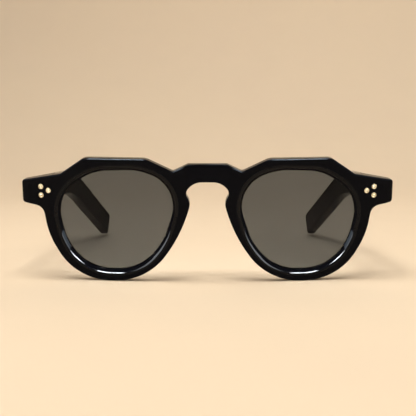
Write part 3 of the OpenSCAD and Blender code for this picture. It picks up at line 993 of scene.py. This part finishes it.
def draw_rivet(head_radius, pin_radius, head_length, length):
    """Rivet turned about Y, its head at the origin and its length along +Y."""
    bm = bmesh.new()
    # From the middle of the head: turned core, groove, rounded rim and shank
    core = head_radius * 0.42
    path = [(0, 0.01 * MM), (core * 0.85, 0.012 * MM), (core, 0.05 * MM), (core + 0.1 * MM, 0.015 * MM),
            (head_radius - 0.22 * MM, 0), (head_radius - 0.06 * MM, 0.025 * MM), (head_radius, 0.1 * MM),
            (head_radius, head_length), (pin_radius, head_length), (pin_radius, length - 0.08 * MM),
            (pin_radius - 0.08 * MM, length), (0, length)]
    verts = [bm.verts.new((across, depth, 0)) for across, depth in path]
    edges = [bm.edges.new(pair) for pair in zip(verts, verts[1:])]
    bmesh.ops.spin(bm, geom=verts + edges, cent=(0, 0, 0), axis=(0, 1, 0), angle=math.tau,
                   steps=40, use_merge=True)
    return bm


# Rivets in millimetres: outwards and up from the hinge pin on the front, and back from the pocket
# and up from the middle line on the temples
FRONT_RIVETS = {"upper": (-3.8, 2.3), "middle": (-6.8, 0.85), "lower": (-3.8, -1.1)}
TEMPLE_RIVETS = {"front": (2.2, 1.75), "rear": (5.8, -1.75)}
# How far a rivet's end stands proud of the acetate
PROUD = 0.03 * MM


class SUNGLASSES_OT_rivets(bpy.types.Operator):
    """Pale gold rivets through the end pieces and the temples"""
    bl_idname = "sunglasses.rivets"
    bl_label = "Rivets"

    def execute(self, context):
        _, _, temple, hardware = values()
        hinge = hinge_place()
        for name, side in SIDES.items():
            for place, (along, up) in FRONT_RIVETS.items():
                x, z = side * (hinge.x + along * MM), hinge.z + up * MM
                surface = bowed(x, z, 0)
                bm = draw_rivet(hardware.rivet_radius, hardware.pin_radius,
                                butt_depth() - hardware.leaf - surface, butt_depth() - surface)
                for vert in bm.verts:
                    # The head follows the bow of the face, the far end stays flat
                    follow = 1 if vert.co.y < 1 * MM else 0
                    rise = bowed(vert.co.x + x, vert.co.z + z, 0) - surface
                    vert.co += Vector((x, surface + follow * rise - PROUD * follow, z))
                move(bm, leaned())
                make_piece(bm, f"rivet_{name}_{place}", "front", rivet_metal,
                           [f"front_rivet_{name}_{place}"], sharp=30)
            start = middle_line(0)[0] + shift().translation
            for place, (along, up) in TEMPLE_RIVETS.items():
                bm = draw_rivet(hardware.rivet_radius, hardware.pin_radius,
                                temple.thickness - hardware.leaf, temple.thickness)
                move(bm, Matrix.Rotation(math.radians(90), 4, "Z"))
                where = Vector((half_width() + PROUD, start.y + pocket_length() + along * MM,
                                start.z + up * MM))
                bmesh.ops.translate(bm, vec=where, verts=bm.verts[:])
                bmesh.ops.scale(bm, vec=(side, 1, 1), verts=bm.verts[:])
                make_piece(bm, f"rivet_temple_{name}_{place}", f"{name}_arm", rivet_metal,
                           [f"temple_rivet_{name}_{place}"], sharp=30)
            wire = frame["nodes"][f"core_wire_{name}"]
            wire.data.materials.clear()
            wire.data.materials.append(material_named(tumbled_nickel))
        return {"FINISHED"}


# Lamps: name, place, aim, width and height in metres, power in watts, and what they give. Those
# that only give reflections shape the streaks on the rims and leave the floor even.
LAMPS = (("key_gloss", (-0.08, -0.33, 0.97), (0, -0.05, 0), 0.2, 0.2, 10, "reflections"),
         ("soft_key", (-0.08, -0.33, 0.97), (0, -0.05, 0), 0.6, 0.6, 11.2, "light"),
         ("left_glint", (-0.235, -0.62, 0.32), (0, -0.07, 0.01), 0.21, 0.24, 27, "reflections"),
         ("right_glint", (0.235, -0.62, 0.32), (0, -0.07, 0.01), 0.21, 0.24, 27, "reflections"),
         ("left_gloss", (-0.98, -0.69, 0.22), (0, -0.07, 0.02), 0.9, 0.42, 15, "reflections"),
         ("right_gloss", (0.98, -0.69, 0.22), (0, -0.07, 0.02), 0.9, 0.42, 15, "reflections"),
         ("back_box", (0.5, 0.6, 0.8), (0, 0.1, 0), 1.2, 0.8, 3, "both"))
SKY = (0.93, 0.95, 1, 1)
SKY_STRENGTH = 0.35


class SUNGLASSES_OT_stage(bpy.types.Operator):
    """Pale floor that sweeps up behind, soft lights and the camera"""
    bl_idname = "sunglasses.stage"
    bl_label = "Stage"

    def execute(self, context):
        stage = context.scene.stage_settings
        # Metres to the sides and front of the floor and to its back, where it rises this high
        wide, back_at, risen_by, sweep_width = 6, 1, 2.5, 0.6
        bm = bmesh.new()
        corners = (-wide, -wide), (wide, -wide), (wide, back_at), (-wide, back_at)
        bm.faces.new([bm.verts.new((x, y, 0)) for x, y in corners])
        back = next(e for e in bm.edges if all(v.co.y > 0 for v in e.verts))
        _, top = extrude_loop(bm, [back])
        bmesh.ops.translate(bm, vec=(0, 0, risen_by), verts=top)
        round_off(bm, [back], sweep_width, 16)
        sweep = hold_mesh(bm, "stage_sweep")
        sweep.data.shade_smooth()
        sweep.data.materials.append(material_named(stage_paint))
        world = bpy.data.worlds.new("studio")
        world.use_nodes = True
        sky = world.node_tree.nodes["Background"]
        sky.inputs["Color"].default_value = SKY
        sky.inputs["Strength"].default_value = SKY_STRENGTH
        context.scene.world = world
        for name, place, aim, width, height, power, gives in LAMPS:
            light = bpy.data.lights.new(name, "AREA")
            light.shape = "RECTANGLE"
            light.size = width
            light.size_y = height
            light.energy = power
            lamp = new_object(name, light)
            lamp.location = place
            lamp.visible_diffuse = gives != "reflections"
            lamp.visible_glossy = gives != "light"
            lamp.rotation_euler = (Vector(aim) - Vector(place)).to_track_quat("-Z", "Y").to_euler()
        camera = bpy.data.cameras.new("camera")
        camera.lens = stage.focal
        camera.sensor_width = 36
        camera.clip_start = 0.01
        holder = new_object("camera", camera)
        holder.location = (stage.camera_side, -stage.camera_back, stage.camera_up)
        holder.rotation_euler = (math.pi / 2 - stage.pitch, 0, 0)
        context.scene.camera = holder
        context.scene.view_settings.view_transform = "Standard"
        return {"FINISHED"}


class SUNGLASSES_PT_panel(bpy.types.Panel):
    """Lists the pieces and their sizes in the sidebar"""
    bl_idname = "SUNGLASSES_PT_panel"
    bl_label = "Round sunglasses"
    bl_space_type = "VIEW_3D"
    bl_region_type = "UI"
    bl_category = "Sunglasses"

    def draw(self, context):
        for group, held in GROUPS.items():
            box = self.layout.box()
            box.label(text=group.__name__)
            for name in group.__annotations__:
                box.prop(getattr(context.scene, held), name)
        for operator in OPERATORS:
            self.layout.operator(operator.bl_idname)


GROUPS = {FrontSizes: "front_sizes", LensSizes: "lens_sizes", TempleSizes: "temple_sizes",
          HardwareSizes: "hardware_sizes", Finishes: "finishes", StageSettings: "stage_settings"}
OPERATORS = (SUNGLASSES_OT_stage, SUNGLASSES_OT_front, SUNGLASSES_OT_lenses, SUNGLASSES_OT_nose_pads,
             SUNGLASSES_OT_temples, SUNGLASSES_OT_hinges, SUNGLASSES_OT_rivets)


def register():
    for group, name in GROUPS.items():
        bpy.utils.register_class(group)
        setattr(bpy.types.Scene, name, PointerProperty(type=group))
    for operator in OPERATORS:
        bpy.utils.register_class(operator)
    bpy.utils.register_class(SUNGLASSES_PT_panel)


def unregister():
    bpy.utils.unregister_class(SUNGLASSES_PT_panel)
    for operator in reversed(OPERATORS):
        bpy.utils.unregister_class(operator)
    for group, name in GROUPS.items():
        delattr(bpy.types.Scene, name)
        bpy.utils.unregister_class(group)


def main():
    """Builds every piece in order."""
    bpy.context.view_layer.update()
    register()
    bpy.ops.sunglasses.stage()
    bpy.ops.sunglasses.front()
    bpy.ops.sunglasses.lenses()
    bpy.ops.sunglasses.nose_pads()
    bpy.ops.sunglasses.temples()
    bpy.ops.sunglasses.hinges()
    bpy.ops.sunglasses.rivets()


if __name__ == "__main__":
    main()
